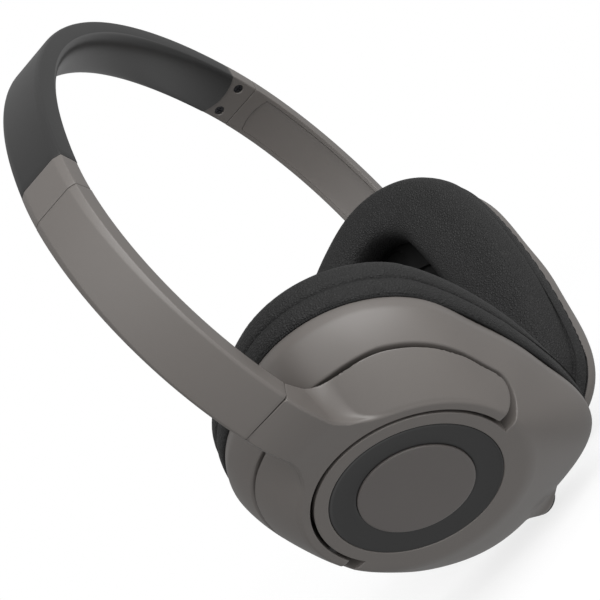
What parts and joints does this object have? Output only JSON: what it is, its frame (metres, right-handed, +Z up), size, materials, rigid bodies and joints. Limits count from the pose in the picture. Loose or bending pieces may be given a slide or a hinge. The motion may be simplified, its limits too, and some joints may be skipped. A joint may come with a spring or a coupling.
{
  "type": "over-ear headset",
  "caption": "Over-ear headset with a sprung headband, sliding arms, swivelling yokes and closed tilting ear cups with D-shaped cushions.",
  "frame": {"origin": "underside of the head pad at the middle of the crown, in the middle plane", "axes": "+Z up, -Y to the wearer's front, +X to the wearer's left, the side of the cup with the cable socket"},
  "size_m": [0.1954, 0.0747, 0.1711],
  "materials": {
    "black_plastic": "satin, fine texture",
    "taupe_plastic": "semi-matte, fine texture",
    "soft_pad": "matt",
    "spring_steel": "bright",
    "dark_steel": "blackened",
    "magnet_steel": "nickel plated",
    "contact_metal": "satin",
    "copper_coil": "lacquered wire",
    "film": "translucent film",
    "dark_accent": "satin",
    "leatherette": "soft, fine grain",
    "wire": "insulated"
  },
  "bodies": {
    "headband": {"headband_shell": "black_plastic", "headband_pad": "soft_pad", "spring_strip": "spring_steel", "crossover_wire": "wire", "left_tongue": "spring_steel", "right_tongue": "spring_steel", "left_end_cap": "taupe_plastic", "right_end_cap": "taupe_plastic", "left_cap_screws": "dark_steel", "right_cap_screws": "dark_steel"},
    "left_arm": {"left_arm_shell": "taupe_plastic", "left_arm_cover": "taupe_plastic", "left_detent_spring": "spring_steel", "left_arm_wire": "wire", "left_swivel_pin": "spring_steel"},
    "left_fork": {"left_yoke": "taupe_plastic", "left_tilt_pins": "spring_steel"},
    "left_cup": {"left_cup_shell": "taupe_plastic", "left_accent_ring": "dark_accent", "left_badge_cap": "taupe_plastic", "left_baffle": "black_plastic", "left_driver_basket": "black_plastic", "left_driver_magnet": "magnet_steel", "left_voice_coil": "copper_coil", "left_diaphragm": "film", "left_driver_grille": "black_plastic", "left_cushion_ring": "black_plastic", "left_cushion": "leatherette", "left_cup_screws": "dark_steel", "left_driver_wires": "wire", "jack_socket": "contact_metal", "jack_collar": "black_plastic"},
    "right_arm": {"right_arm_shell": "taupe_plastic", "right_arm_cover": "taupe_plastic", "right_detent_spring": "spring_steel", "right_arm_wire": "wire", "right_swivel_pin": "spring_steel"},
    "right_fork": {"right_yoke": "taupe_plastic", "right_tilt_pins": "spring_steel"},
    "right_cup": {"right_cup_shell": "taupe_plastic", "right_accent_ring": "dark_accent", "right_badge_cap": "taupe_plastic", "right_baffle": "black_plastic", "right_driver_basket": "black_plastic", "right_driver_magnet": "magnet_steel", "right_voice_coil": "copper_coil", "right_diaphragm": "film", "right_driver_grille": "black_plastic", "right_cushion_ring": "black_plastic", "right_cushion": "leatherette", "right_cup_screws": "dark_steel", "right_driver_wires": "wire"}
  },
  "joints": [
    {"name": "left_arm_slide", "type": "slide", "parent": "headband", "child": "left_arm", "axis": [0.4775, 0, -0.8786], "range_m": [0, 0.015]},
    {"name": "left_cup_swivel", "type": "hinge", "parent": "left_arm", "child": "left_fork", "pos_m": [0.08906, 0, -0.09388], "axis": [-0.4305, 0, -0.9026], "range_deg": [-9.6, 2.4]},
    {"name": "left_cup_tilt", "type": "hinge", "parent": "left_fork", "child": "left_cup", "pos_m": [0.05951, 0.00072, -0.12924], "axis": [-0.0567, -0.998, 0.027], "range_deg": [0, 14]},
    {"name": "right_arm_slide", "type": "slide", "parent": "headband", "child": "right_arm", "axis": [-0.4775, 0, -0.8786], "range_m": [0, 0.015]},
    {"name": "right_cup_swivel", "type": "hinge", "parent": "right_arm", "child": "right_fork", "pos_m": [-0.08906, 0, -0.09388], "axis": [0.4305, 0, -0.9026], "range_deg": [-6, 6]},
    {"name": "right_cup_tilt", "type": "hinge", "parent": "right_fork", "child": "right_cup", "pos_m": [-0.05949, 0, -0.12923], "axis": [0, 1, 0], "range_deg": [0, 14]}
  ]
}
